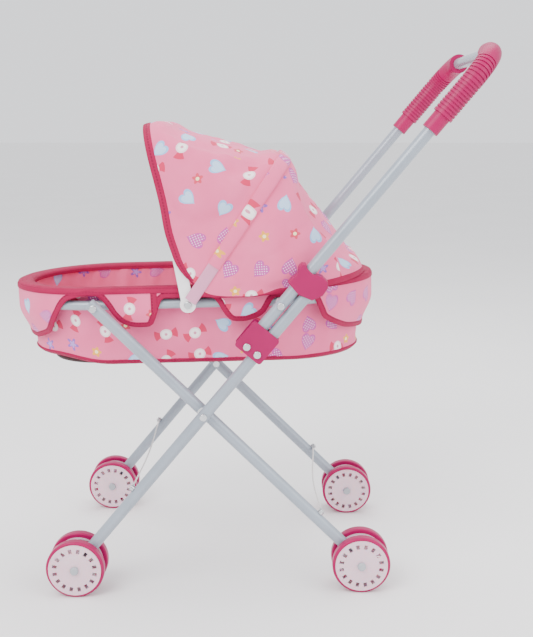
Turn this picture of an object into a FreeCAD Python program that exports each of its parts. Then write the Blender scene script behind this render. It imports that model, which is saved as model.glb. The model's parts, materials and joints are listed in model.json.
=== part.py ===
import FreeCAD, Part
import math
import os

V = FreeCAD.Vector

# A doll stroller: folding cross frame, dual wheels, soft carrycot and folding hood.
# +X points to the handle end, -Y is the stroller's left side, +Z is up. Millimetres.

doc = FreeCAD.newDocument("doll_stroller")
sheet = doc.addObject("Spreadsheet::Sheet", "Sizes")

SIZES = {
    "front_axle_x": -173.2,
    "rear_axle_x": 120.8,
    "wheel_radius": 30.0,
    "wheel_offset": 12.5,         # leg centre to wheel centre
    "tyre_inner_radius": 25.5,
    "tyre_near_side": 5.5,        # tyre edge that faces the leg
    "tyre_face_side": 4.0,        # tyre edge under the hub flange
    "tyre_edge_round": 1.6,
    "flange_radius": 27.0,
    "flange_thickness": 1.5,
    "barrel_wall": 2.0,
    "boss_radius": 6.0,
    "spoke_thickness": 1.6,
    "spoke_half_width": 4.0,
    "spoke_count": 8,
    "slot_count": 16,
    "slot_inner_radius": 18.4,
    "slot_outer_radius": 23.2,
    "slot_width": 3.6,
    "axle_radius": 2.0,
    "axle_half_length": 19.6,
    "cap_radius": 4.3,
    "cap_inner_face": 18.3,
    "cap_length": 3.0,
    "leg_radius": 6.0,
    "leg_wall": 1.0,
    "leg_overhang": 8.0,          # leg below its axle
    "front_leg_length": 387.0,
    "front_leg_angle": 50.17,
    "cross_distance": 207.0,      # front axle to the cross pivot
    "rear_leg_length": 395.0,
    "seat_pivot_distance": 380.4, # rear axle to the seat pivot
    "front_plane": 122.0,
    "rear_plane": 109.0,
    "rail_plane": 94.5,
    "rail_radius": 5.0,
    "rail_wall": 1.0,
    "rail_front_arc_x": 2.5,      # arc centres, from the seat pivot
    "rail_rear_arc_x": 185.5,
    "handle_offset": 13.0,        # handle tube above the front leg
    "handle_pivot_x": 291.1,
    "rail_bolt_x": 343.4,
    "handle_top_x": 660.0,
    "handle_bend_radius": 38.0,
    "bolt_radius": 2.0,
    "bolt_head_radius": 3.8,
    "bolt_head_height": 2.2,
    "running_fit": 0.05,
    "washer_radius": 7.0,
    "washer_thickness": 0.8,
    "spacer_radius": 5.0,
    "open_pivot_gap": 0.3,
    "boss_face": 102.3,           # rail boss meets the handle spacer
    "grip_start_x": 564.0,
    "grip_rib_start_x": 582.0,
    "grip_end_y": 80.0,
    "grip_collar_radius": 8.7,
    "grip_radius": 10.6,
    "grip_groove_radius": 9.7,
    "grip_groove_width": 1.5,
    "grip_rib_pitch": 3.6,
    "grip_groove_count": 18,
    "cheek_thickness": 2.2,
    "cheek_gap": 0.2,
    "bracket_start_x": 284.7,
    "bracket_end_x": 316.5,
    "bracket_low_z": -8.6,
    "bracket_high_z": 24.0,
    "bracket_corner": 3.0,
    "bracket_rivet_x": 291.6,
    "clip_travel": 28.0,
    "clip_slot_end_x": 380.0,
    "cord_radius": 0.8,
    "cord_height": 7.6,           # cord centre above its leg centre line
    "front_cord_x": 100.6,
    "rear_cord_x": 66.0,
    "eyelet_radius": 3.2,
    "crimp_radius": 1.5,
    "crimp_length": 5.5,
    "cord_bend_radius": 50.0,
    "front_cord_droop": 2.0,      # degrees
    "rear_cord_droop": 4.5,
    "cot_top_half_width": 87.0,
    "cot_top_z": 14.5,
    "cot_bottom_half_width": 79.0,
    "cot_bottom_z": -64.0,
    "cot_bottom_front_x": -2.0,
    "cot_bottom_rear_x": 189.0,
    "cot_wall": 2.0,
    "cot_floor": 3.0,
    "rim_outer_half_width": 102.0,
    "rim_inner_half_width": 85.0,
    "skirt_thickness": 2.0,
    "rim_top_z": 17.0,
    "board_half_width": 62.0,
    "board_thickness": 3.6,
    "hood_pivot_x": 94.0,
    "bow_width": 12.0,
    "bow_thickness": 1.5,
    "bow_corner": 40.0,
    "bow_eye_radius": 8.0,
    "front_bow_angle": 99.0,
    "front_bow_radius": 181.0,
    "front_bow_y": 106.5,
    "rear_bow_angle": 54.5,
    "rear_bow_radius": 171.0,
    "rear_bow_y": 104.5,
    "canopy_thickness": 1.5,
    "canopy_half_width": 107.2,
    "canopy_low_z": 8.0,
}

for row, (alias, size) in enumerate(SIZES.items(), start=1):
    sheet.set("A%d" % row, alias)
    sheet.set("B%d" % row, str(size))
    sheet.setAlias("B%d" % row, alias)
doc.recompute()


def size(alias):
    return float(sheet.get(alias))


nodes = []


def bind(obj, prop, expression):
    obj.setExpression(prop, expression)


def rod(name, radius, length, base, axis):
    """A cylinder whose radius and length are sheet expressions."""
    obj = doc.addObject("Part::Cylinder", name)
    bind(obj, "Radius", radius)
    bind(obj, "Height", length)
    obj.Placement = FreeCAD.Placement(base, FreeCAD.Rotation(V(0, 0, 1), axis))
    return obj


def joined(kind, name, base, tools):
    """A boolean of several primitives: kind is Cut or Fuse."""
    if kind == "Fuse":
        obj = doc.addObject("Part::MultiFuse", name)
        obj.Shapes = [base] + tools
        return obj
    tool = tools[0]
    if len(tools) > 1:
        tool = doc.addObject("Part::MultiFuse", name + "_tools")
        tool.Shapes = tools
    obj = doc.addObject("Part::Cut", name)
    obj.Base = base
    obj.Tool = tool
    return obj


def keep(obj, label, placement=None):
    """Marks an object as a node of the assembly."""
    obj.Label = label
    if placement is not None:
        obj.Placement = placement
    nodes.append(obj)
    return obj


def coded(label, shape, placement=FreeCAD.Placement()):
    obj = doc.addObject("Part::Feature", label)
    obj.Shape = shape
    return keep(obj, label, placement)


def cylinder_y(radius, y_start, y_end, x, z):
    low, high = min(y_start, y_end), max(y_start, y_end)
    return Part.makeCylinder(radius, high - low, V(x, low, z), V(0, 1, 0))


# ---- frames of reference -------------------------------------------------

ALONG_Y = V(0, 1, 0)
SIDES = (("left", -1), ("right", 1))
leg_angle = size("front_leg_angle")
front_axle = V(size("front_axle_x"), 0, size("wheel_radius"))
rear_axle = V(size("rear_axle_x"), 0, size("wheel_radius"))
up_leg = V(math.cos(math.radians(leg_angle)), 0, math.sin(math.radians(leg_angle)))
cross_pivot = front_axle + up_leg * size("cross_distance")
rear_run = cross_pivot - rear_axle
rear_angle = math.degrees(math.atan2(rear_run.z, rear_run.x))
rear_cross_distance = rear_run.Length
tilt_axis = V(0, -1, 0)

# in the front frame x runs up the leg and z is square to it
front_frame = FreeCAD.Placement(front_axle, FreeCAD.Rotation(tilt_axis, leg_angle))
rear_frame = FreeCAD.Placement(rear_axle, FreeCAD.Rotation(tilt_axis, rear_angle))
seat_pivot = rear_frame.multVec(V(size("seat_pivot_distance"), 0, 0))
rail_bolt = front_frame.multVec(V(size("rail_bolt_x"), 0, size("handle_offset")))
rail_run = rail_bolt - seat_pivot
rail_angle = math.degrees(math.atan2(rail_run.z, rail_run.x))
rail_bolt_reach = rail_run.Length
seat_frame = FreeCAD.Placement(seat_pivot, FreeCAD.Rotation(tilt_axis, rail_angle))

# ---- legs ----------------------------------------------------------------


def bore(name, radius, x, z, y_middle, length_expression, length):
    """A round hole across a leg, along Y."""
    base = V(x, y_middle - length / 2, z)
    return rod(name, radius, length_expression, base, ALONG_Y)


def leg(label, plane, length, frame, holes, screw_x, screw_side):
    start = V(-size("leg_overhang"), plane, 0)
    outer = rod(label + "_outer", "Sizes.leg_radius", length, start, V(1, 0, 0))
    inner_radius = "Sizes.leg_radius - Sizes.leg_wall"
    inner = rod(label + "_inner", inner_radius, length, start, V(1, 0, 0))
    cutters = [inner]
    across = 3 * size("leg_radius")
    for index, (x, radius) in enumerate(holes):
        name = "%s_hole_%d" % (label, index)
        cutters.append(bore(name, radius, x, 0, plane, "3 * Sizes.leg_radius", across))
    screw_base = V(screw_x, plane, 0)
    screw_axis = V(0, 0, screw_side)
    screw_hole = "0.6 * Sizes.bolt_radius"
    cutters.append(rod(label + "_screw", screw_hole, "2 * Sizes.leg_radius", screw_base, screw_axis))
    keep(joined("Cut", label, outer, cutters), label, frame)


AXLE_HOLE = "Sizes.axle_radius + Sizes.running_fit"
BOLT_HOLE = "Sizes.bolt_radius + Sizes.running_fit"
FRONT_UP = 1
REAR_UP = -1

for side, sign in SIDES:
    front_holes = [
        (0, AXLE_HOLE),
        (size("cross_distance"), BOLT_HOLE),
        (size("bracket_rivet_x"), BOLT_HOLE),
    ]
    leg(
        "front_leg_" + side,
        sign * size("front_plane"),
        "Sizes.front_leg_length",
        front_frame,
        front_holes,
        size("front_cord_x"),
        FRONT_UP,
    )
    rear_holes = [
        (0, AXLE_HOLE),
        (rear_cross_distance, BOLT_HOLE),
        (size("seat_pivot_distance"), BOLT_HOLE),
    ]
    leg(
        "rear_leg_" + side,
        sign * size("rear_plane"),
        "Sizes.rear_leg_length",
        rear_frame,
        rear_holes,
        size("rear_cord_x"),
        REAR_UP,
    )

# ---- axles and caps ------------------------------------------------------


def axle_set(prefix, plane, centre):
    """Two stub axles in one node, and their four push caps in another."""
    axles = []
    caps = []
    for side, sign in SIDES:
        middle = sign * plane
        base = centre + V(0, middle - size("axle_half_length"), 0)
        name = "%s_axle_%s" % (prefix, side)
        length = "2 * Sizes.axle_half_length"
        axles.append(rod(name, "Sizes.axle_radius", length, base, ALONG_Y))
        for way in (-1, 1):
            inner = middle + way * size("cap_inner_face")
            outer = inner + way * size("cap_length")
            cap = cylinder_y(size("cap_radius"), inner, outer, centre.x, centre.z)
            edge = [e for e in cap.Edges if abs(e.CenterOfMass.y - outer) < size("running_fit")]
            cap = cap.makeFillet(size("cap_length") / 2, edge)
            seat = cylinder_y(
                size("axle_radius"),
                middle,
                middle + way * size("axle_half_length"),
                centre.x,
                centre.z,
            )
            caps.append(cap.cut(seat))
    keep(joined("Fuse", prefix + "_axles", axles[0], axles[1:]), prefix + "_axles")
    coded(prefix + "_axle_caps", Part.makeCompound(caps))


axle_set("front", size("front_plane"), front_axle)
axle_set("rear", size("rear_plane"), rear_axle)

# ---- wheels --------------------------------------------------------------


def tyre_shape():
    """A ring with rounded tread edges, turned about Y."""
    inner, outer = size("tyre_inner_radius"), size("wheel_radius")
    low, high = -size("tyre_near_side"), size("tyre_face_side")
    corners = [V(inner, low, 0), V(outer, low, 0), V(outer, high, 0), V(inner, high, 0)]
    face = Part.Face(Part.makePolygon(corners + corners[:1]))
    ring = face.revolve(V(0, 0, 0), V(0, 1, 0), 360)
    tread_edges = [
        e
        for e in ring.Edges
        if isinstance(e.Curve, Part.Circle) and e.Curve.Radius > inner + size("barrel_wall")
    ]
    return ring.makeFillet(size("tyre_edge_round"), tread_edges)


def hub_shape():
    """A barrel with a slotted flange on its face side, spokes and a bored boss."""
    low, high = -size("tyre_near_side"), size("tyre_face_side")
    face_end = high + size("flange_thickness")
    barrel = cylinder_y(size("tyre_inner_radius"), low, high, 0, 0)
    hollow_radius = size("tyre_inner_radius") - size("barrel_wall")
    hollow = cylinder_y(hollow_radius, low, high, 0, 0)
    flange = cylinder_y(size("flange_radius"), high, face_end, 0, 0)
    boss = cylinder_y(size("boss_radius"), low, high, 0, 0)
    solids = [barrel.cut(hollow), flange, boss]
    reach = size("tyre_inner_radius") - size("barrel_wall") / 2
    depth = size("spoke_half_width") + high
    for index in range(int(size("spoke_count"))):
        corner = V(0, -size("spoke_half_width"), -size("spoke_thickness") / 2)
        spoke = Part.makeBox(reach, depth, size("spoke_thickness"), corner)
        spoke.rotate(V(0, 0, 0), V(0, 1, 0), 360 * index / size("spoke_count"))
        solids.append(spoke)
    hub = solids[0].multiFuse(solids[1:]).removeSplitter()
    cutters = [cylinder_y(size("axle_radius") + size("running_fit"), low - 1, face_end + 1, 0, 0)]
    slot_length = size("slot_outer_radius") - size("slot_inner_radius")
    slot_step = 360 / size("slot_count")
    for index in range(int(size("slot_count"))):
        corner = V(size("slot_inner_radius"), high, -size("slot_width") / 2)
        slot = Part.makeBox(slot_length, 2 * size("flange_thickness"), size("slot_width"), corner)
        slot.rotate(V(0, 0, 0), V(0, 1, 0), slot_step * (index + 0.5))
        cutters.append(slot)
    return hub.cut(Part.makeCompound(cutters))


tyre = tyre_shape()
hub = hub_shape()
FACES_AWAY = {1: FreeCAD.Rotation(), -1: FreeCAD.Rotation(V(1, 0, 0), 180)}

for prefix, plane, centre in (
    ("front", size("front_plane"), front_axle),
    ("rear", size("rear_plane"), rear_axle),
):
    for side, sign in SIDES:
        for place, away in (("inner", -sign), ("outer", sign)):
            middle = sign * plane + away * size("wheel_offset")
            spot = FreeCAD.Placement(centre + V(0, middle, 0), FACES_AWAY[away])
            name = "%s_%s_%s" % (prefix, side, place)
            coded(name + "_tyre", tyre, spot)
            coded(name + "_hub", hub, spot)

# ---- bolts, washers and spacers ------------------------------------------


def headed_pin(inner_y, outer_y, x, z, sign, nut=False):
    """A pin along Y with a domed head outside and, if asked, a nut inside."""
    radius = size("bolt_radius")
    head_radius, head_height = size("bolt_head_radius"), size("bolt_head_height")
    pin = cylinder_y(radius, sign * inner_y, sign * outer_y, x, z)
    head_end = outer_y + head_height
    head = cylinder_y(head_radius, sign * outer_y, sign * head_end, x, z)
    rim = [e for e in head.Edges if abs(e.CenterOfMass.y - sign * head_end) < size("running_fit")]
    head = head.makeFillet(head_height / 2, rim)
    parts = [head]
    if nut:
        nut_end = inner_y - head_height
        parts.append(cylinder_y(head_radius, sign * nut_end, sign * inner_y, x, z))
    return pin.multiFuse(parts).removeSplitter()


leg_out = size("leg_radius")
cross_x = size("cross_distance")
front_outer = size("front_plane") + leg_out
rear_inner = size("rear_plane") - leg_out
cross_bolts = [
    headed_pin(rear_inner, front_outer, cross_x, 0, sign, nut=True) for side, sign in SIDES
]
coded("cross_pivot_bolts", Part.makeCompound(cross_bolts), front_frame)

washers = []
washer_hole = "Sizes.bolt_radius"
for side, sign in SIDES:
    middle_gap = (size("front_plane") + size("rear_plane")) / 2
    start = sign * middle_gap - size("washer_thickness") / 2
    base = V(cross_x, start, 0)
    name = "cross_washer_" + side
    disc = rod(name + "_disc", "Sizes.washer_radius", "Sizes.washer_thickness", base, ALONG_Y)
    hole = rod(name + "_hole", washer_hole, "Sizes.washer_thickness", base, ALONG_Y)
    washers.append(joined("Cut", name, disc, [hole]))
keep(joined("Fuse", "cross_pivot_washers", washers[0], washers[1:]), "cross_pivot_washers", front_frame)

rail_inner = size("rail_plane") - size("rail_radius")
rail_outer = size("rail_plane") + size("rail_radius")
SLIM = 0.1
seat_bolts = []
seat_spacers = []
seat_x = size("seat_pivot_distance")
for side, sign in SIDES:
    rear_outer = size("rear_plane") + leg_out
    seat_bolts.append(headed_pin(rail_inner + SLIM, rear_outer, seat_x, 0, sign))
    start, end = sign * (rail_outer + SLIM), sign * rear_inner
    tube = cylinder_y(size("spacer_radius"), start, end, seat_x, 0)
    pin = cylinder_y(size("bolt_radius"), start, end, seat_x, 0)
    seat_spacers.append(tube.cut(pin))
coded("seat_pivot_bolts", Part.makeCompound(seat_bolts), rear_frame)
coded("seat_pivot_spacers", Part.makeCompound(seat_spacers), rear_frame)

# ---- handle frame --------------------------------------------------------

handle_z = size("handle_offset")
pivot_x = size("handle_pivot_x")
plane = size("front_plane")
bend = size("handle_bend_radius")
straight = size("handle_top_x") - bend - pivot_x
quarter = math.pi * bend / 2
bar_half = plane - bend
half_path = straight + quarter + bar_half


def handle_point(distance):
    """Point and direction on the handle's centre line, on the -Y half."""
    if distance <= straight:
        return V(pivot_x + distance, -plane, handle_z), V(1, 0, 0)
    turned = (distance - straight) / bend
    if turned <= math.pi / 2:
        x = pivot_x + straight + bend * math.sin(turned)
        y = -plane + bend * (1 - math.cos(turned))
        return V(x, y, handle_z), V(math.cos(turned), math.sin(turned), 0)
    y = -bar_half + (distance - straight - quarter)
    return V(size("handle_top_x"), y, handle_z), V(0, 1, 0)


def handle_edges(start, end):
    """The centre line between two distances, as edges."""
    edges = []
    if start < straight:
        edges.append(Part.makeLine(handle_point(start)[0], handle_point(min(end, straight))[0]))
    if end > straight:
        arc_end = min(end, straight + quarter)
        arc_middle = handle_point((straight + arc_end) / 2)[0]
        points = [handle_point(straight)[0], arc_middle, handle_point(arc_end)[0]]
        edges.append(Part.Arc(*points).toShape())
    if end > straight + quarter:
        edges.append(Part.makeLine(handle_point(straight + quarter)[0], handle_point(end)[0]))
    return edges


def swept(edges, radius):
    """A round bar along the edges, which meet end to end."""
    path = Part.Wire(edges)
    start = edges[0].valueAt(edges[0].FirstParameter)
    direction = edges[0].tangentAt(edges[0].FirstParameter)
    ring = Part.Wire(Part.makeCircle(radius, start, direction))
    return path.makePipeShell([ring], True, False)


def mirrored(shape):
    return shape.mirror(V(0, 0, 0), V(0, 1, 0))


half_edges = handle_edges(0, half_path)
half_outer = swept(half_edges, size("leg_radius"))
half_inner = swept(half_edges, size("leg_radius") - size("leg_wall"))
round_end = Part.makeSphere(size("leg_radius"), V(pivot_x, -plane, handle_z))
half_tube = half_outer.fuse(round_end).cut(half_inner)
handle_holes = []
for sign in (-1, 1):
    for x in (pivot_x, size("rail_bolt_x")):
        hole_radius = size("bolt_radius") + size("running_fit")
        start, end = sign * (plane - 2 * leg_out), sign * (plane + 2 * leg_out)
        handle_holes.append(cylinder_y(hole_radius, start, end, x, handle_z))
whole_tube = half_tube.fuse(mirrored(half_tube)).removeSplitter()
coded("handle_tube", whole_tube.cut(Part.makeCompound(handle_holes)), front_frame)


def grip_shape():
    start = size("grip_start_x") - pivot_x
    rib_start = size("grip_rib_start_x") - pivot_x
    end = half_path - size("grip_end_y")
    collar = swept(handle_edges(start, end), size("grip_collar_radius"))
    sleeve = swept(handle_edges(rib_start, end), size("grip_radius"))
    bore_radius = size("leg_radius") + size("running_fit")
    core = swept(handle_edges(start - 1, end + 1), bore_radius)
    grooves = []
    for index in range(int(size("grip_groove_count"))):
        distance = rib_start + (index + 1) * size("grip_rib_pitch")
        centre, direction = handle_point(distance)
        width = size("grip_groove_width")
        base = centre - direction * (width / 2)
        disc = Part.makeCylinder(size("grip_radius") + 1, width, base, direction)
        kept = Part.makeCylinder(size("grip_groove_radius"), width, base, direction)
        grooves.append(disc.cut(kept))
    return collar.fuse(sleeve).cut(core).cut(Part.makeCompound(grooves))


grip = grip_shape()
coded("grip_left", grip, front_frame)
coded("grip_right", mirrored(grip), front_frame)

rail_bolts = []
rail_spacers = []
bolt_x = size("rail_bolt_x")
spacer_face = size("boss_face") + size("open_pivot_gap")
for side, sign in SIDES:
    rail_bolts.append(headed_pin(spacer_face, front_outer, bolt_x, handle_z, sign))
    start, end = sign * spacer_face, sign * (plane - leg_out)
    tube = cylinder_y(size("spacer_radius"), start, end, bolt_x, handle_z)
    pin = cylinder_y(size("bolt_radius"), start, end, bolt_x, handle_z)
    rail_spacers.append(tube.cut(pin))
coded("rail_bolts", Part.makeCompound(rail_bolts), front_frame)
coded("rail_spacers", Part.makeCompound(rail_spacers), front_frame)

# ---- brackets and lock clips ---------------------------------------------

cheek = size("cheek_thickness")
inner_cheek = plane - leg_out - size("cheek_gap") - cheek
outer_cheek = plane + leg_out + size("cheek_gap") + cheek
low_z, high_z = size("bracket_low_z"), size("bracket_high_z")


def block_between(x_start, x_end, y_start, y_end, z_start, z_end):
    corner = V(x_start, y_start, z_start)
    return Part.makeBox(x_end - x_start, y_end - y_start, z_end - z_start, corner)


def bracket_shape():
    """Two cheeks and a web, open on the side the handle tube swings to."""
    x_start, x_end = size("bracket_start_x"), size("bracket_end_x")
    body = block_between(x_start, x_end, inner_cheek, outer_cheek, low_z, high_z)
    corners = [e for e in body.Edges if abs(e.tangentAt(e.FirstParameter).y) > 0.9]
    body = body.makeFillet(size("bracket_corner"), corners)
    floor = low_z + cheek
    slot_in, slot_out = inner_cheek + cheek, outer_cheek - cheek
    slot = block_between(x_start - 1, x_end + 1, slot_in, slot_out, floor, high_z + 1)
    holes = [
        cylinder_y(size("bolt_radius"), inner_cheek - 1, outer_cheek + 1, x, z)
        for x, z in ((pivot_x, handle_z), (size("bracket_rivet_x"), 0))
    ]
    return body.cut(Part.makeCompound([slot] + holes))


# the clip's side outline in the front frame: x up the leg, z square to it
CLIP_OUTLINE = [
    (366.0, 22.8),
    (379.5, 21.6),
    (384.0, 24.6),
    (388.5, 24.4),
    (391.0, 21.0),
    (388.5, 17.0),
    (388.0, 9.5),
    (392.0, 1.0),
    (391.5, -6.0),
    (387.0, -10.5),
    (378.0, -11.5),
    (367.5, -6.5),
    (363.5, 7.5),
]
clip_round = 1.2


def clip_shape():
    """A block that slides on the handle tube and hooks over the leg's end."""
    points = [V(x, inner_cheek, z) for x, z in CLIP_OUTLINE]
    face = Part.Face(Part.makePolygon(points + points[:1]))
    body = face.extrude(V(0, outer_cheek - inner_cheek, 0))
    rims = [e for e in body.Edges if abs(e.tangentAt(e.FirstParameter).y) < 0.1]
    body = body.makeFillet(clip_round, rims)
    sleeve_radius = size("leg_radius") + size("running_fit")
    sleeve = Part.makeCylinder(sleeve_radius, 60, V(350, plane, handle_z), V(1, 0, 0))
    slot_half = leg_out + size("cheek_gap")
    slot_x = size("clip_slot_end_x")
    slot = block_between(350, slot_x, plane - slot_half, plane + slot_half, -20, slot_half)
    return body.cut(Part.makeCompound([sleeve, slot]))


bracket = bracket_shape()
clip = clip_shape()
coded("lower_bracket_right", bracket, front_frame)
coded("lower_bracket_left", mirrored(bracket), front_frame)
coded("lock_clip_right", clip, front_frame)
coded("lock_clip_left", mirrored(clip), front_frame)

bracket_rivets = []
for side, sign in SIDES:
    for x, z in ((pivot_x, handle_z), (size("bracket_rivet_x"), 0)):
        bracket_rivets.append(headed_pin(inner_cheek, outer_cheek, x, z, sign, nut=True))
coded("bracket_rivets", Part.makeCompound(bracket_rivets), front_frame)

# ---- tie cords -----------------------------------------------------------


def cord_half(half_span, droop, x, height, up):
    """Edges from the end at -half_span to the middle, sagging by tangent arcs."""
    radius = size("cord_bend_radius")
    angle = math.radians(droop)
    crimp = size("crimp_length")
    run = (half_span - crimp - 2 * radius * math.sin(angle)) / math.cos(angle)
    drop = radius * (1 - math.cos(angle))

    def spot(y, fall):
        return V(x, y, up * (height - fall))

    half_drop = radius * (1 - math.cos(angle / 2))
    half_way = radius * math.sin(angle / 2)
    first = -half_span + crimp
    second = first + radius * math.sin(angle)
    third = second + run * math.cos(angle)
    fall = drop + run * math.sin(angle)
    return [
        Part.makeLine(spot(-half_span, 0), spot(first, 0)),
        Part.Arc(spot(first, 0), spot(first + half_way, half_drop), spot(second, drop)).toShape(),
        Part.makeLine(spot(second, drop), spot(third, fall)),
        Part.Arc(
            spot(third, fall), spot(-half_way, fall + drop - half_drop), spot(0, fall + drop)
        ).toShape(),
    ]


def tie_cord(prefix, leg_plane, droop, x, up, frame):
    """One cord held by a screwed eyelet and a crimp at each end."""
    height = size("cord_height")
    half_span = leg_plane - size("eyelet_radius")
    half = swept(cord_half(half_span, droop, x, height, up), size("cord_radius"))
    coded(prefix + "_cord", half.fuse(mirrored(half)).removeSplitter(), frame)
    fittings = []
    top = size("leg_radius") + SLIM
    thickness = 2 * (height - top)
    screw_radius = 0.6 * size("bolt_radius")
    for side, sign in SIDES:
        middle = V(x, sign * leg_plane, up * top)
        axis = V(0, 0, up)
        eyelet = Part.makeCylinder(size("eyelet_radius"), thickness, middle, axis)
        shank_base = middle - axis * (size("leg_wall") + 2)
        shank = Part.makeCylinder(screw_radius, size("leg_wall") + 2 + thickness, shank_base, axis)
        head = Part.makeCylinder(2 * screw_radius, screw_radius, middle + axis * thickness, axis)
        start, end = sign * half_span, sign * (half_span - size("crimp_length"))
        crimp = cylinder_y(size("crimp_radius"), start, end, x, up * height)
        inside = cylinder_y(size("cord_radius"), start, end, x, up * height)
        fittings.append(eyelet.multiFuse([shank, head, crimp]).cut(inside))
    coded(prefix + "_cord_fittings", Part.makeCompound(fittings), frame)


front_droop, rear_droop = size("front_cord_droop"), size("rear_cord_droop")
tie_cord("front", plane, front_droop, size("front_cord_x"), FRONT_UP, front_frame)
tie_cord("rear", size("rear_plane"), rear_droop, size("rear_cord_x"), REAR_UP, rear_frame)

# ---- seat rail and soft carrycot -----------------------------------------

front_arc = size("rail_front_arc_x")
rear_arc = size("rail_rear_arc_x")


def oval_wire(half_width, front_x, rear_x, z):
    """Two straight sides and two half circles about front_x and rear_x."""
    left = Part.makeLine(V(front_x, -half_width, z), V(rear_x, -half_width, z))
    rear_tip = V(rear_x + half_width, 0, z)
    rear = Part.Arc(V(rear_x, -half_width, z), rear_tip, V(rear_x, half_width, z)).toShape()
    right = Part.makeLine(V(rear_x, half_width, z), V(front_x, half_width, z))
    front_tip = V(front_x - half_width, 0, z)
    front = Part.Arc(V(front_x, half_width, z), front_tip, V(front_x, -half_width, z)).toShape()
    return Part.Wire([left, rear, right, front])


def oval_prism(half_width, low, high):
    face = Part.Face(oval_wire(half_width, front_arc, rear_arc, low))
    return face.extrude(V(0, 0, high - low))


def ring_tube(radius):
    path = oval_wire(size("rail_plane"), front_arc, rear_arc, 0)
    ring = Part.Wire(Part.makeCircle(radius, V(front_arc, -size("rail_plane"), 0), V(1, 0, 0)))
    return path.makePipeShell([ring], True, False)


hood_x = size("hood_pivot_x")
rail = ring_tube(size("rail_radius")).cut(ring_tube(size("rail_radius") - size("rail_wall")))
rail_holes = []
bosses = []
for side, sign in SIDES:
    hole_radius = size("bolt_radius") + size("running_fit")
    inside, outside = sign * (rail_inner - 1), sign * (rail_outer + 1)
    rail_holes.append(cylinder_y(hole_radius, inside, outside, 0, 0))
    rail_holes.append(cylinder_y(size("bolt_radius"), inside, outside, hood_x, 0))
    boss_end = sign * size("boss_face")
    boss_y = sign * size("rail_plane")
    boss = cylinder_y(size("spacer_radius"), boss_y, boss_end, rail_bolt_reach, 0)
    bosses.append(boss)
solid_rail = ring_tube(size("rail_radius"))
rail_bosses = [boss.cut(solid_rail) for boss in bosses]
coded("seat_rail", rail.cut(Part.makeCompound(rail_holes)), seat_frame)
coded("rail_bosses", Part.makeCompound(rail_bosses), seat_frame)


def cot_solid(inset, low, high):
    """The carrycot's outside, drawn in by inset, from its floor to its rim."""
    tall = size("cot_top_z") - size("cot_bottom_z")
    share_low = (low - size("cot_bottom_z")) / tall
    share_high = (high - size("cot_bottom_z")) / tall

    def section(share, z):
        bottom, top = size("cot_bottom_half_width"), size("cot_top_half_width")
        half_width = bottom + (top - bottom) * share - inset
        front_x = size("cot_bottom_front_x") * (1 - share) + front_arc * share
        rear_x = size("cot_bottom_rear_x") * (1 - share) + rear_arc * share
        return oval_wire(half_width, front_x, rear_x, z)

    return Part.makeLoft([section(share_low, low), section(share_high, high)], True, True)


cot_low, cot_top = size("cot_bottom_z"), size("cot_top_z")
cot_outside = cot_solid(0, cot_low, cot_top)
cot_inside = cot_solid(size("cot_wall"), cot_low + size("cot_floor"), cot_top)
coded("carrycot", cot_outside.cut(cot_inside), seat_frame)

# the hanging edge of the rim cover, from its front end to its rear end
SKIRT_EDGE = [
    (-112, -38),
    (-80, -38),
    (-60, -30),
    (-48, -18),
    (-41, -8),
    (-36, 1),
    (-29, 8),
    (-12, 11),
    (2, 9),
    (10, 3),
    (17, -7),
    (25, -18),
    (37, -22),
    (52, -22),
    (58, -19),
    (62, -5),
    (65, 8),
    (120, 8),
    (126, 0),
    (130, -10),
    (138, -18),
    (153, -18),
    (167, -13),
    (174, -5),
    (178, 6),
    (222, 6),
    (226, -8),
    (231, -18),
    (243, -25),
    (262, -34),
    (285, -40),
    (300, -40),
]
skirt_low = -45.0
rim_outer = size("rim_outer_half_width")
rim_top = size("rim_top_z")
cover = oval_prism(rim_outer, skirt_low, rim_top)
under = oval_prism(rim_outer - size("skirt_thickness"), skirt_low, cot_top)
mouth = oval_prism(size("rim_inner_half_width"), cot_top, rim_top)
below = [(300, skirt_low - 5), (-112, skirt_low - 5)]
trim_points = [V(x, -rim_outer - 5, z) for x, z in SKIRT_EDGE + below]
trim_face = Part.Face(Part.makePolygon(trim_points + trim_points[:1]))
trim = trim_face.extrude(V(0, 2 * rim_outer + 10, 0))
coded("rim_cover", cover.cut(under).cut(mouth).cut(trim), seat_frame)

board_top = cot_low - SLIM
board_wire = oval_wire(
    size("board_half_width"),
    size("cot_bottom_front_x"),
    size("cot_bottom_rear_x"),
    board_top - size("board_thickness"),
)
board = Part.Face(board_wire).extrude(V(0, 0, size("board_thickness")))
coded("base_board", board, seat_frame)

# ---- hood ----------------------------------------------------------------

hood_frame = seat_frame.multiply(FreeCAD.Placement(V(hood_x, 0, 0), FreeCAD.Rotation()))


def arch_points(half_width, radius, corner, start, angle):
    """Key points of an arch that stands at an angle on the hood's pivot line."""
    out = V(math.cos(math.radians(angle)), 0, math.sin(math.radians(angle)))
    bevel = corner * (1 - math.sqrt(0.5))
    spots = [
        (-half_width, start),
        (-half_width, radius - corner),
        (-half_width + bevel, radius - bevel),
        (-half_width + corner, radius),
    ]
    mirror_spots = [(-y, reach) for y, reach in reversed(spots)]
    return [V(0, y, 0) + out * reach for y, reach in spots + mirror_spots]


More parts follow.
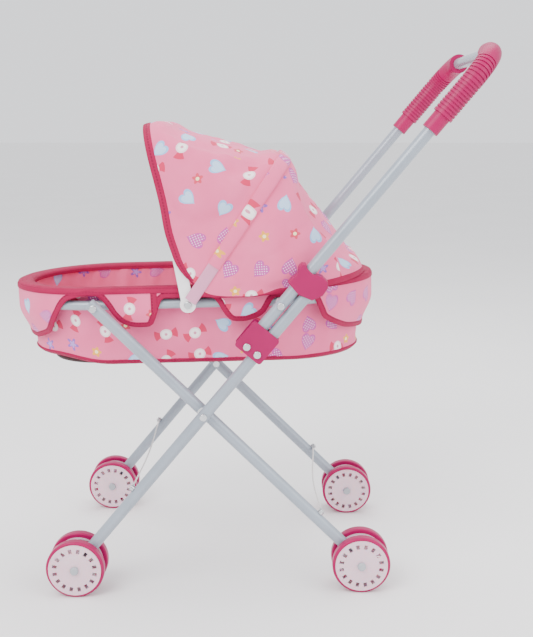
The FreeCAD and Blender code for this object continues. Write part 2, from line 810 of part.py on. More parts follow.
def arch_wire(half_width, radius, corner, start, angle, thickness):
    """Closed outline of an arch: the outer run, then the inner run back."""
    outer = arch_points(half_width, radius, corner, start, angle)
    slim = (half_width - thickness, radius - thickness, corner - thickness)
    inner = arch_points(*slim, start, angle)

    def run(p):
        return [
            Part.makeLine(p[0], p[1]),
            Part.Arc(p[1], p[2], p[3]).toShape(),
            Part.makeLine(p[3], p[4]),
            Part.Arc(p[4], p[5], p[6]).toShape(),
            Part.makeLine(p[6], p[7]),
        ]

    ends = [Part.makeLine(outer[7], inner[7]), Part.makeLine(inner[0], outer[0])]
    return Part.Wire(run(outer) + ends[:1] + run(inner[::-1]) + ends[1:])


def bow_shape(half_width, radius, angle):
    """A flat strip bent to an arch, with a round eye at each foot."""
    thickness, width = size("bow_thickness"), size("bow_width")
    outline = arch_wire(half_width, radius, size("bow_corner"), 0, angle, thickness)
    across = V(-math.sin(math.radians(angle)), 0, math.cos(math.radians(angle)))
    face = Part.Face(outline)
    face.translate(across * (-width / 2))
    strip = face.extrude(across * width)
    eyes = []
    holes = []
    for side, sign in SIDES:
        inner, outer = sign * (half_width - thickness), sign * half_width
        eyes.append(cylinder_y(size("bow_eye_radius"), inner, outer, 0, 0))
        fit = size("bolt_radius") + size("running_fit")
        holes.append(cylinder_y(fit, inner, outer, 0, 0))
    return strip.multiFuse(eyes).cut(Part.makeCompound(holes))


front_angle, rear_bow_angle = size("front_bow_angle"), size("rear_bow_angle")
front_bow = bow_shape(size("front_bow_y"), size("front_bow_radius"), front_angle)
rear_bow = bow_shape(size("rear_bow_y"), size("rear_bow_radius"), rear_bow_angle)
coded("hood_front_bow", front_bow, hood_frame)
coded("hood_rear_bow", rear_bow, hood_frame)
hood_rivets = [
    headed_pin(rail_inner + SLIM, size("front_bow_y") + SLIM, 0, 0, sign) for side, sign in SIDES
]
coded("hood_rivets", Part.makeCompound(hood_rivets), hood_frame)

# angle, inner radius and corner radius of each canopy section
FRONT_SECTIONS = [
    (102.3, 182.0, 41.0),
    (95.5, 182.0, 41.0),
    (90.0, 174.0, 42.0),
    (81.0, 168.0, 44.0),
    (71.0, 166.5, 44.0),
    (62.0, 168.5, 43.0),
    (58.0, 172.5, 41.0),
    (54.8, 172.5, 41.0),
]
REAR_SECTIONS = [
    (54.2, 172.5, 41.0),
    (51.0, 172.5, 41.0),
    (44.0, 165.0, 46.0),
    (33.0, 163.5, 54.0),
    (22.0, 169.0, 64.0),
    (14.0, 176.0, 76.0),
    (6.2, 183.0, 88.0),
]


def canopy_shape(sections):
    """A thin cloth panel through arched sections, open below."""
    thickness = size("canopy_thickness")
    wires = []
    for angle, radius, corner in sections:
        foot = size("canopy_low_z") / math.sin(math.radians(angle))
        half_width = size("canopy_half_width") + thickness
        outline = (half_width, radius + thickness, corner + thickness, foot, angle, thickness)
        wires.append(arch_wire(*outline))
    return Part.makeLoft(wires, True, True)


coded("canopy_front", canopy_shape(FRONT_SECTIONS), hood_frame)
coded("canopy_rear", canopy_shape(REAR_SECTIONS), hood_frame)

# ---- check and export ----------------------------------------------------

doc.recompute()
for obj in doc.Objects:
    if "Invalid" in obj.State or "Error" in obj.State:
        raise RuntimeError("%s did not recompute: %s" % (obj.Label, obj.State))
for obj in nodes:
    if obj.Shape.isNull() or not obj.Shape.isValid():
        raise RuntimeError("%s has no valid shape" % obj.Label)

os.makedirs("parts", exist_ok=True)
for obj in nodes:
    obj.Shape.exportStep("parts/%s.step" % obj.Label)
print("exported", len(nodes), "nodes")
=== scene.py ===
import json
import math

import bpy
import numpy as np
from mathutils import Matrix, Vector, noise


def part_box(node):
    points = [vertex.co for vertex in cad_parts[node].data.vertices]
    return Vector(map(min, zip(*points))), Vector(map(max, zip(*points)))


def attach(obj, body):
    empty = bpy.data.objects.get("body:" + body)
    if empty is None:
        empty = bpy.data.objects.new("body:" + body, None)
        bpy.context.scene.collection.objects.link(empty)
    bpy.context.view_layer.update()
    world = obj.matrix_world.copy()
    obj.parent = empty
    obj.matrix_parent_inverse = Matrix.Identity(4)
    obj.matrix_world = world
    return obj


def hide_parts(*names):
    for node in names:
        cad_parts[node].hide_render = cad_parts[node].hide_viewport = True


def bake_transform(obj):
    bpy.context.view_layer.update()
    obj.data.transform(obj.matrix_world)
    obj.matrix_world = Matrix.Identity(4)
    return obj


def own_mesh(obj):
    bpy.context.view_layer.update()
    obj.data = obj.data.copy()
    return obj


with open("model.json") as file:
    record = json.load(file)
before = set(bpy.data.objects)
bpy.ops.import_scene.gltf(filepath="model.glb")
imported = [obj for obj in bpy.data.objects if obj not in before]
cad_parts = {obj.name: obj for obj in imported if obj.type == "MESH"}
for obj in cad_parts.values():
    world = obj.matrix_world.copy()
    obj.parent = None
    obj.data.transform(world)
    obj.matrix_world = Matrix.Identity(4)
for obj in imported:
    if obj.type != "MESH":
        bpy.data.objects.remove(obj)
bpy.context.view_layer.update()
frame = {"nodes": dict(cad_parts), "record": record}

# ---- frames of reference -------------------------------------------------

MM = 0.001
TAU = 2 * math.pi


def middle(node):
    low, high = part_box(node)
    return (Vector(low) + Vector(high)) / 2


# the carrycot's frame starts at the seat pivot, and x runs back along the rail
seat_pivot = middle("seat_pivot_bolts")
hood_pivot = middle("hood_rivets")
seat_pivot.y = hood_pivot.y = 0
BACK = (hood_pivot - seat_pivot).normalized()
UP = Vector((-BACK.z, 0, BACK.x))
LEFT_TO_RIGHT = Vector((0, 1, 0))


def seat(x, y, z):
    """A point of the carrycot's frame, given in mm, in the row frame."""
    return seat_pivot + (BACK * x + LEFT_TO_RIGHT * y + UP * z) * MM


def hood(reach, y, degrees):
    """A point at an angle and a distance from the hood's pivot line, in mm."""
    turn = math.radians(degrees)
    out = BACK * math.cos(turn) + UP * math.sin(turn)
    return hood_pivot + (out * reach + LEFT_TO_RIGHT * y) * MM


# ---- driving dimensions, in mm, as the part has them ---------------------

FRONT_ARC, REAR_ARC = 2.5, 185.5          # centres of the rim's round ends
FLOOR_FRONT, FLOOR_REAR = -2.0, 189.0     # centres of the floor's round ends
COT_TOP, COT_FLOOR = 14.5, -64.0
COT_TOP_HALF, COT_FLOOR_HALF = 86.0, 78.0
COT_CLOTH = 1.6
RIM_INNER, RIM_OUTER = 86.0, 101.0
RIM_CLOTH = 1.6
RIM_EDGE = 12.4                           # where the cover leaves the rail and hangs
FLAP_TUCK_START, FLAP_TUCK = 8.0, 11.0    # how low and how far the flaps draw in
FLAP_TUCK_RUN = 32.0                      # and over what height
BOARD_HALF, BOARD_THICK, BOARD_TOP = 62.0, 3.6, -64.1
SLIT = 0.02                               # half width left at the board's middle line
CANOPY_HALF = 107.9
CANOPY_CLOTH = 1.3
# degrees up from the rail
HOOD_HEM, FRONT_BOW, REAR_BOW, HOOD_REAR = 102.3, 99.0, 54.5, 6.2
FRONT_LIFT = 8.0
TAPE = 6.5
HEM_TAPE = 8.0

# ---- shader building blocks ----------------------------------------------


def colour(text):
    """A linear colour from a six-digit web colour."""
    parts = [int(text[i:i + 2], 16) / 255 for i in (1, 3, 5)]
    linear = [p / 12.92 if p <= 0.04045 else ((p + 0.055) / 1.055) ** 2.4 for p in parts]
    return (*linear, 1.0)


class Shader:
    """A new material and short calls for the nodes that it needs."""

    def __init__(self, name):
        self.material = bpy.data.materials.new(name)
        self.material.use_nodes = True
        self.tree = self.material.node_tree
        self.surface = self.tree.nodes["Principled BSDF"]

    def node(self, kind):
        return self.tree.nodes.new(kind)

    def give(self, socket, value):
        if isinstance(value, bpy.types.NodeSocket):
            self.tree.links.new(value, socket)
        else:
            socket.default_value = value

    def math(self, operation, *values):
        node = self.node("ShaderNodeMath")
        node.operation = operation
        for socket, value in zip(node.inputs, values):
            self.give(socket, value)
        return node.outputs[0]

    def mix(self, share, first, second):
        node = self.node("ShaderNodeMix")
        node.data_type = "RGBA"
        self.give(node.inputs["Factor"], share)
        # sockets 6 and 7 are the two colours of a colour mix, and 2 its result
        self.give(node.inputs[6], first)
        self.give(node.inputs[7], second)
        return node.outputs[2]

    def ramp(self, value, low, high):
        node = self.node("ShaderNodeMapRange")
        self.give(node.inputs["Value"], value)
        self.give(node.inputs["To Min"], low)
        self.give(node.inputs["To Max"], high)
        return node.outputs[0]

    def place(self, kind="Object"):
        return self.node("ShaderNodeTexCoord").outputs[kind]

    def noise(self, scale, detail=3.0, where=None):
        node = self.node("ShaderNodeTexNoise")
        self.give(node.inputs["Vector"], where or self.place())
        node.inputs["Scale"].default_value = scale
        node.inputs["Detail"].default_value = detail
        return node.outputs["Fac"]

    def bump(self, height, distance, strength=0.5):
        node = self.node("ShaderNodeBump")
        node.inputs["Strength"].default_value = strength
        node.inputs["Distance"].default_value = distance
        self.give(node.inputs["Height"], height)
        self.give(self.surface.inputs["Normal"], node.outputs[0])

    def set(self, **values):
        for name, value in values.items():
            self.give(self.surface.inputs[name.replace("_", " ")], value)
        return self


def moulded(name, dark, light, rough, grain, **extra):
    """Plastic or paint: cloudy colour, uneven gloss and a fine surface grain."""
    s = Shader(name)
    clouds = s.noise(35.0)
    fine = s.noise(grain)
    s.set(Base_Color=s.mix(clouds, colour(dark), colour(light)))
    s.set(Roughness=s.ramp(s.noise(180.0), rough - 0.06, rough + 0.07), **extra)
    s.bump(fine, 0.00012, 0.35)
    return s.material


def steel(name):
    """Bright plated steel with fine turning marks."""
    s = Shader(name)
    s.set(Base_Color=s.mix(s.noise(90.0), colour("#B9BCC0"), colour("#DADCDD")), Metallic=1.0)
    s.set(Roughness=s.ramp(s.noise(420.0), 0.16, 0.34))
    s.bump(s.noise(1500.0), 0.00005, 0.4)
    return s.material


def cord_braid(name):
    """Thin white cord with a diagonal twist."""
    s = Shader(name)
    wave = s.node("ShaderNodeTexWave")
    wave.bands_direction = "DIAGONAL"
    wave.inputs["Scale"].default_value = 260.0
    wave.inputs["Distortion"].default_value = 1.0
    s.give(wave.inputs["Vector"], s.place())
    s.set(Base_Color=s.mix(wave.outputs["Fac"], colour("#C9C6C4"), colour("#F5F3F0")))
    s.set(Roughness=s.ramp(s.noise(300.0), 0.65, 0.85))
    s.bump(wave.outputs["Fac"], 0.0003, 0.7)
    return s.material


def split(s, vector):
    node = s.node("ShaderNodeSeparateXYZ")
    s.give(node.inputs[0], vector)
    return node.outputs


def weave(s, u, v, pitch):
    """Height of a plain weave from two thread directions; pitch is in the units of u and v."""
    across = s.math("SINE", s.math("MULTIPLY", u, TAU / pitch))
    along = s.math("SINE", s.math("MULTIPLY", v, TAU / pitch))
    return s.math("MULTIPLY", across, along)


def inside(s, value, limit):
    """1 where the value is below the limit, and 0 elsewhere."""
    return s.math("LESS_THAN", value, limit)


def both(s, first, second):
    return s.math("MULTIPLY", first, second)


def squared(s, value, scale):
    part = s.math("DIVIDE", value, scale)
    return s.math("MULTIPLY", part, part)


def oval(s, x, y, wide, tall):
    return inside(s, s.math("ADD", squared(s, x, wide), squared(s, y, tall)), 1.0)


def petals(s, x, y, size, depth):
    """A five-pointed round outline: deep dents give a star, shallow ones a flower."""
    turn = s.math("MULTIPLY", s.math("ARCTAN2", x, y), 5.0)
    edge = s.math("MULTIPLY_ADD", s.math("COSINE", turn), size * depth, size * (1 - depth))
    reach = s.math("SQRT", s.math("ADD", squared(s, x, 1.0), squared(s, y, 1.0)))
    return s.math("LESS_THAN", reach, edge)


def heart(s, x, y, size):
    """A heart filled in: its height bends up by the root of the distance sideways."""
    side = s.math("SQRT", s.math("ABSOLUTE", s.math("DIVIDE", x, size)))
    lift = s.math("SUBTRACT", s.math("DIVIDE", y, size), s.math("MULTIPLY", side, 0.75))
    lifted = s.math("MULTIPLY", lift, lift)
    return inside(s, s.math("ADD", squared(s, x, size), lifted), 0.8)


def print_cloth(name, ground_dark, ground_light, pitch_mm=31.0):
    """Pink cotton printed with sweets, hearts, stars and flowers."""
    s = Shader(name)
    uv = s.place("UV")
    u, v, _ = split(s, uv)
    cells = s.node("ShaderNodeTexVoronoi")
    cells.voronoi_dimensions = "2D"
    cells.inputs["Scale"].default_value = 1000.0 / pitch_mm
    cells.inputs["Randomness"].default_value = 0.55
    s.give(cells.inputs["Vector"], uv)
    chance, lean, tint = split(s, cells.outputs["Color"])
    off = s.node("ShaderNodeVectorMath")
    off.operation = "SUBTRACT"
    s.give(off.inputs[0], uv)
    s.give(off.inputs[1], cells.outputs["Position"])
    turned = s.node("ShaderNodeVectorRotate")
    turned.rotation_type = "Z_AXIS"
    s.give(turned.inputs["Vector"], off.outputs[0])
    s.give(turned.inputs["Angle"], s.math("MULTIPLY", lean, TAU))
    x_m, y_m, _ = split(s, turned.outputs[0])
    x = s.math("MULTIPLY", x_m, 1000.0)
    y = s.math("MULTIPLY", y_m, 1000.0)

    def kind(low, high):
        """1 in the cells whose random number lies between low and high."""
        return both(s, s.math("GREATER_THAN", chance, low), inside(s, chance, high))

    picture = s.mix(s.noise(28.0, 2.0, uv), colour(ground_dark), colour(ground_light))

    def paint(mask, ink):
        nonlocal picture
        picture = s.mix(mask, picture, colour(ink))

    width = s.math("ABSOLUTE", x)
    wing_edge = s.math("MULTIPLY", s.math("SUBTRACT", width, 1.5), 0.56)
    wing = s.math("LESS_THAN", s.math("ABSOLUTE", y), wing_edge)
    wing_reach = s.math("SQRT", s.math("ADD", squared(s, x, 1.0), squared(s, y, 1.0)))
    wing = both(s, wing, inside(s, wing_reach, 12.5))
    sweet = kind(-0.01, 0.34)
    paint(both(s, sweet, wing), "#D42A58")
    paint(both(s, sweet, oval(s, x, y, 6.2, 5.8)), "#F3D7DF")
    paint(both(s, sweet, oval(s, x, y, 4.6, 4.2)), "#FFF4F4")
    paint(both(s, sweet, oval(s, x, y, 1.5, 1.5)), "#D98AA4")

    blue_heart = kind(0.34, 0.52)
    paint(both(s, blue_heart, heart(s, x, y, 8.0)), "#8DB8E4")
    paint(both(s, blue_heart, heart(s, x, y, 6.2)), "#B4CFEC")

    dotted_heart = kind(0.52, 0.66)
    paint(both(s, dotted_heart, heart(s, x, y, 8.6)), "#C246A0")
    dots = weave(s, x, y, 3.4)
    dot = both(s, s.math("GREATER_THAN", dots, 0.45), heart(s, x, y, 7.4))
    paint(both(s, dotted_heart, dot), "#F7C9DE")

    star = kind(0.66, 0.82)
    paint(both(s, star, petals(s, x, y, 7.2, 0.30)), "#8A5BB5")
    paint(both(s, star, petals(s, x, y, 4.2, 0.26)), "#B58AD2")

    flower = kind(0.82, 1.01)
    paint(both(s, flower, petals(s, x, y, 5.6, 0.20)), "#D8405A")
    warm = both(s, flower, s.math("GREATER_THAN", tint, 0.5))
    paint(both(s, warm, petals(s, x, y, 5.6, 0.20)), "#F0A640")
    paint(both(s, flower, oval(s, x, y, 1.8, 1.8)), "#FFF0B8")

    s.set(Base_Color=picture, Sheen_Weight=0.12, Sheen_Roughness=0.5)
    s.set(Roughness=s.ramp(s.noise(60.0, 2.0, uv), 0.68, 0.86), Specular_IOR_Level=0.3)
    threads = weave(s, u, v, 0.0011)
    creases = s.noise(45.0, 4.0, uv)
    s.bump(s.math("MULTIPLY_ADD", creases, 4.0, threads), 0.00016, 0.45)
    return s.material


def ribbed_tape(name, dark, light):
    """Crimson binding with cross ribs and rows of stitches along it."""
    s = Shader(name)
    uv = s.place("UV")
    u, v, _ = split(s, uv)
    ribs = s.math("SINE", s.math("MULTIPLY", u, TAU / 0.0011))
    base = s.mix(s.noise(70.0, 3.0, uv), colour(dark), colour(light))
    stitch_run = s.math("GREATER_THAN", s.math("FRACT", s.math("DIVIDE", u, 0.0032)), 0.35)
    stitch_line = s.math("COMPARE", s.math("FRACT", s.math("DIVIDE", v, 0.0048)), 0.5, 0.07)
    stitch = both(s, stitch_run, stitch_line)
    s.set(Base_Color=s.mix(stitch, base, colour("#7E0034")))
    s.set(Roughness=s.ramp(s.noise(90.0, 2.0, uv), 0.5, 0.7), Specular_IOR_Level=0.2)
    s.bump(s.math("SUBTRACT", ribs, s.math("MULTIPLY", stitch, 2.0)), 0.0002, 0.5)
    return s.material


def painted_shade_board(name):
    """Board with pressed fibres, coloured dark brown as painted shade of the carrycot's underside."""
    s = Shader(name)
    fibres = s.noise(140.0, 6.0)
    # painted shade: the dark browns stand in for the shadowed underside of the carrycot, not the
    # board's own colour
    s.set(Base_Color=s.mix(fibres, colour("#28171A"), colour("#4B3030")))
    s.set(Roughness=s.ramp(s.noise(60.0), 0.55, 0.8))
    s.bump(fibres, 0.0004, 0.4)
    return s.material


def milky_plastic(name):
    """Translucent pink-white moulding, as on the wheel centres."""
    s = Shader(name)
    s.set(Base_Color=s.mix(s.noise(40.0), colour("#D6B2BF"), colour("#E6C8D2")))
    s.set(Subsurface_Weight=0.25, Subsurface_Scale=0.004, Coat_Weight=0.2)
    s.set(Roughness=s.ramp(s.noise(150.0), 0.28, 0.44))
    s.bump(s.noise(700.0), 0.0001, 0.3)
    return s.material


MATERIALS = {
    "painted_tube": moulded(
        "paint", "#89929D", "#9DA6B1", 0.33, 900.0, Metallic=0.12, Coat_Weight=0.35
    ),
    "magenta_plastic": moulded(
        "hot_plastic", "#8C0047", "#A20054", 0.38, 700.0, Specular_IOR_Level=0.25
    ),
    "magenta_tyre": moulded("tyre", "#920048", "#A80056", 0.32, 500.0, Specular_IOR_Level=0.25),
    "white_hub": milky_plastic("hub"),
    "vinyl_grip": moulded("grip", "#920048", "#AA0056", 0.42, 1100.0, Specular_IOR_Level=0.25),
    "bright_steel": steel("plate"),
    "grey_plastic": moulded("cap", "#8F9399", "#B2B6BB", 0.36, 600.0),
    "white_nylon": moulded("nylon", "#DEDEDD", "#F4F3F1", 0.4, 500.0),
    "white_strip": moulded("strip", "#E2DEDF", "#F7F4F4", 0.34, 400.0),
    "white_cord": cord_braid("braid"),
    "print_cloth": print_cloth("cloth", "#E65A8A", "#F2709C"),
    # the board's dark brown is painted shade under the carrycot
    "brown_board": painted_shade_board("board"),
}
BINDING = ribbed_tape("binding", "#90003A", "#A80049")
STRIP = moulded("tunnel_strip", "#CC7FA2", "#DC94B4", 0.38, 400.0)

slot_names = {part["node"]: part["material_slot"] for part in frame["record"]["subparts"]}
for node, piece in frame["nodes"].items():
    for slot in piece.material_slots:
        slot.material = MATERIALS[slot_names[node]]

# ---- cloth building blocks -----------------------------------------------


def surface_normals(rows, closed):
    """Unit normals of a grid of points; closed joins each row's two ends."""
    if closed:
        along = np.roll(rows, -1, 1) - np.roll(rows, 1, 1)
    else:
        along = np.gradient(rows, axis=1)
    across = np.gradient(rows, axis=0)
    normals = np.cross(along, across)
    return normals / np.maximum(np.linalg.norm(normals, axis=2, keepdims=True), 1e-9)


class Cloth:
    """Collects sheets and tapes of one sewn piece, then makes its mesh."""

    def __init__(self):
        self.points, self.faces, self.uvs, self.slots = [], [], [], []

    def patch(self, rows, uv, slot, closed=False, flip=False):
        start = len(self.points)
        count, width = rows.shape[:2]
        self.points.extend(map(tuple, rows.reshape(-1, 3)))
        steps = width if closed else width - 1
        for i in range(count - 1):
            for j in range(steps):
                k = (j + 1) % width
                face = [i * width + j, i * width + k, (i + 1) * width + k, (i + 1) * width + j]
                spots = [uv[i, j], uv[i, j + 1], uv[i + 1, j + 1], uv[i + 1, j]]
                if flip:
                    face.reverse()
                    spots.reverse()
                self.faces.append([start + f for f in face])
                self.uvs.extend(map(tuple, spots))
                self.slots.append(slot)

    def sheet(self, rows, uv, thickness, slot, closed=False, bands=()):
        """Both faces of a sheet and its cut edges, as one closed shell.

        bands are (first column, last column, uv) where the print needs its own layout."""
        normals = surface_normals(rows, closed) * (thickness * MM / 2)
        outer, inner = rows + normals, rows - normals
        for first, last, layout in bands or ((0, rows.shape[1] - 1, uv),):
            part = slice(first, last + 1)
            self.patch(outer[:, part], layout, slot, closed)
            self.patch(inner[:, part], layout, slot, closed, flip=True)
        for edge, flip in ((0, True), (-1, False)):
            pair = np.stack([outer[edge], inner[edge]])
            self.patch(pair, np.stack([uv[edge]] * 2), slot, closed, flip)
        if not closed:
            for edge, flip in ((0, False), (-1, True)):
                pair = np.stack([outer[:, edge], inner[:, edge]])
                self.patch(pair, np.stack([uv[:, edge]] * 2), slot, False, flip)

    def tape(self, line, normals, inward, width, thickness, slot, closed=False):
        """A flat rounded tape along a line, centred half its width inwards."""
        turns = np.linspace(0, TAU, 13)
        if closed:
            line, normals, inward = (np.concatenate([a, a[:1]]) for a in (line, normals, inward))
        steps = np.linalg.norm(np.diff(line, axis=0), axis=1)
        run = np.concatenate([[0], np.cumsum(steps)])
        centre = line + inward * (width / 2 - thickness / 2) * MM
        ring = []
        for turn in turns:
            # a squared-off oval keeps the tape flat with soft edges
            side = math.copysign(abs(math.cos(turn)) ** 0.5, math.cos(turn)) * width / 2
            lift = math.copysign(abs(math.sin(turn)) ** 0.7, math.sin(turn)) * thickness / 2
            ring.append(centre + (inward * side + normals * lift) * MM)
        rows = np.stack(ring, axis=1)
        v = np.linspace(0, 2 * width * MM, len(turns))
        uv = np.stack(np.meshgrid(run, v, indexing="ij"), axis=2)
        self.patch(rows, uv, slot)
        if not closed:
            for end, flip in ((0, True), (-1, False)):
                start = len(self.points)
                self.points.extend(map(tuple, rows[end][:-1]))
                face = list(range(start, start + len(turns) - 1))
                self.faces.append(face if flip else face[::-1])
                self.uvs.extend([(0.0, 0.0)] * len(face))
                self.slots.append(slot)

    def make(self, name, materials):
        mesh = bpy.data.meshes.new(name)
        mesh.from_pydata(self.points, [], self.faces)
        layer = mesh.uv_layers.new(name="UVMap")
        layer.data.foreach_set("uv", np.array(self.uvs, np.float32).ravel())
        mesh.polygons.foreach_set("material_index", self.slots)
        for material in materials:
            mesh.materials.append(material)
        mesh.shade_smooth()
        mesh.update()
        piece = bpy.data.objects.new(name, mesh)
        bpy.context.scene.collection.objects.link(piece)
        return piece


def drape(rows, closed, pinned, slack, cap):
    """Lets a grid of cloth settle between its pinned points; no point moves past cap mm.

    The grid is simulated at ten times its size."""
    count, width = rows.shape[:2]
    mesh = bpy.data.meshes.new("settling")
    faces = [
        (i * width + j, i * width + (j + 1) % width,
         (i + 1) * width + (j + 1) % width, (i + 1) * width + j)
        for i in range(count - 1)
        for j in range(width if closed else width - 1)
    ]
    scale_up, frames = 10.0, 20
    mesh.from_pydata([tuple(p * scale_up) for p in rows.reshape(-1, 3)], [], faces)
    piece = bpy.data.objects.new("settling", mesh)
    bpy.context.scene.collection.objects.link(piece)
    group = piece.vertex_groups.new(name="pinned")
    group.add([i * width + j for i, j in pinned], 1.0, "REPLACE")
    modifier = piece.modifiers.new("cloth", "CLOTH")
    settings = modifier.settings
    settings.vertex_group_mass = "pinned"
    settings.shrink_min = -slack
    settings.bending_stiffness = 2.0
    settings.effector_weights.gravity = 0.35
    modifier.collision_settings.use_collision = False
    modifier.point_cache.frame_start, modifier.point_cache.frame_end = 1, frames
    scene = bpy.context.scene
    for step in range(1, frames + 1):
        scene.frame_set(step)
    settled = piece.evaluated_get(bpy.context.evaluated_depsgraph_get())
    after = np.array([v.co for v in settled.data.vertices]).reshape(rows.shape) / scale_up
    bpy.data.objects.remove(piece)
    bpy.data.meshes.remove(mesh)
    scene.frame_set(1)
    moved = after - rows
    length = np.linalg.norm(moved, axis=2, keepdims=True)
    limit = cap * MM
    return rows + moved / np.maximum(length, 1e-9) * limit * np.tanh(length / limit)


def crease(rows, closed, depth, spacing, strength):
    """Moves each point along its normal by smooth noise; strength is one number a point."""
    normals = surface_normals(rows, closed)
    waves = np.array([
        [noise.fractal(Vector(p) / (spacing * MM), 0.6, 2.0, 3) for p in row] for row in rows
    ])
    return rows + normals * (waves * strength * depth * MM)[:, :, None]


def smooth_through(x, keys):
    """A smooth curve through (x, value) keys in rising order of x."""
    xs, ys = np.array(keys, float).T
    slopes = np.gradient(ys, xs)
    i = int(np.clip(np.searchsorted(xs, x) - 1, 0, len(xs) - 2))
    gap = xs[i + 1] - xs[i]
    t = float(np.clip((x - xs[i]) / gap, 0, 1))
    near = (1 + 2 * t) * (1 - t) ** 2 * ys[i] + t * (1 - t) ** 2 * gap * slopes[i]
    far = t * t * (3 - 2 * t) * ys[i + 1] + t * t * (t - 1) * gap * slopes[i + 1]
    return near + far


def lengths_uv(rows, closed):
    """Texture places in metres, measured along the grid's two directions."""
    loop = np.concatenate([rows, rows[:, :1]], axis=1) if closed else rows
    u = np.linalg.norm(np.diff(loop[len(rows) // 2], axis=0), axis=1)
    u = np.tile(np.concatenate([[0], np.cumsum(u)]), (len(rows), 1))
    v = np.cumsum(np.linalg.norm(np.diff(loop, axis=0), axis=2), axis=0)
    v = np.concatenate([np.zeros((1, v.shape[1])), v])
    return np.stack([u, v], axis=2)


# ---- hood ----------------------------------------------------------------

# angle from the rail, radius and corner radius of the hood's arches
HOOD_ARCHES = [
    (HOOD_REAR, 183.7, 88.0),
    (14.0, 176.7, 76.0),
    (22.0, 169.7, 64.0),
    (33.0, 164.2, 54.0),
    (44.0, 165.7, 46.0),
    (51.0, 172.6, 42.0),
    (58.0, 172.6, 42.0),
    (62.0, 169.2, 43.0),
    (71.0, 167.2, 44.0),
    (81.0, 168.7, 44.0),
    (90.0, 174.7, 42.0),
    (95.5, 182.3, 41.0),
    (HOOD_HEM, 182.6, 41.0),
]
SIDE_STEPS, CORNER_STEPS, TOP_STEPS = 18, 12, 26
SEAM_COLUMN = SIDE_STEPS + CORNER_STEPS // 2
# height of the hood's lower edge above the rail's middle, by angle
HOOD_FEET = [
    (HOOD_REAR, 7.1), (10.0, 7.1), (20.0, 8.0), (40.0, 10.5), (REAR_BOW, 12.5), (80.0, 18.0),
    (HOOD_HEM, 21.0),
]


def sweep_back(height, degrees):
    """How far back the hem's foot curves, in mm: nothing at the rear bow, all at the hem."""
    share = float(np.clip((degrees - REAR_BOW) / (HOOD_HEM - REAR_BOW), 0, 1)) ** 2
    foot = 11.5 * (max(0.0, 48.0 - height) / 27.0) ** 2
    belly = 2.5 * math.exp(-((height - 72.0) / 22.0) ** 2)
    return share * (foot - belly)


def arch(degrees, half=CANOPY_HALF, extra=0.0, foot=None):
    """Points of one arch of the hood, from its left foot over the top to its right."""
    radius = smooth_through(degrees, [(a, r) for a, r, _ in HOOD_ARCHES]) + extra
    corner = smooth_through(degrees, [(a, c) for a, _, c in HOOD_ARCHES])
    foot = smooth_through(degrees, HOOD_FEET) if foot is None else foot
    rise = math.sin(math.radians(degrees))
    start = foot / rise
    spots = [
        (-half, start + (radius - corner - start) * k / SIDE_STEPS) for k in range(SIDE_STEPS)
    ]
    for k in range(CORNER_STEPS):
        turn = math.pi / 2 * k / CORNER_STEPS
        y = -half + corner * (1 - math.cos(turn))
        spots.append((y, radius - corner * (1 - math.sin(turn))))
    flat = half - corner
    spots += [(-flat + flat * k / (TOP_STEPS // 2), radius) for k in range(TOP_STEPS // 2)]
    mirrored = [(-y, reach) for y, reach in reversed(spots)]
    return np.array([
        hood(reach, y, degrees) + BACK * (sweep_back(reach * rise, degrees) * MM)
        for y, reach in spots + [(0.0, radius)] + mirrored
    ])


def hood_layout(rows, angles):
    """Print layout of a hood panel: flat on each side, and rolled out over the top."""
    run = np.linalg.norm(np.diff(rows, axis=1), axis=2)
    side_run = np.concatenate([np.zeros((len(rows), 1)), np.cumsum(run, axis=1)], axis=1)
    turns = np.radians(angles)[:, None]
    start = np.linalg.norm(rows[:, :1] - np.array(hood_pivot + LEFT_TO_RIGHT * rows[0, 0, 1]), axis=2)
    last = rows.shape[1] - 1
    reach = start + side_run[:, :SEAM_COLUMN + 1]
    left = np.stack([reach * np.cos(turns), reach * np.sin(turns)], axis=2)
    right = left[:, ::-1]
    seam = reach.mean(axis=0)[-1]
    over = side_run[:, SEAM_COLUMN:last - SEAM_COLUMN + 1]
    top = np.stack([turns * seam * np.ones_like(over), over], axis=2)
    return (
        (0, SEAM_COLUMN, left),
        (SEAM_COLUMN, last - SEAM_COLUMN, top),
        (last - SEAM_COLUMN, last, right),
    )


def free_of_edges(count, width):
    """How freely each point moves: not at all under the bindings, fully further in."""
    bound, easing = 3, 5.0
    share = []
    for size in (count, width):
        inset = np.minimum(np.arange(size), np.arange(size)[::-1])
        t = np.clip((inset - bound) / easing, 0, 1)
        share.append(t * t * (3 - 2 * t))
    return np.outer(*share)[:, :, None]


def keep_outside_bows(rows):
    """Stops the sides of a hood panel from sinking inwards onto the bows."""
    least = (CANOPY_HALF - 0.2) * MM
    for side, sign in ((slice(0, SIDE_STEPS + 1), -1), (slice(-SIDE_STEPS - 1, None), 1)):
        rows[:, side, 1] = sign * np.maximum(np.abs(rows[:, side, 1]), least)


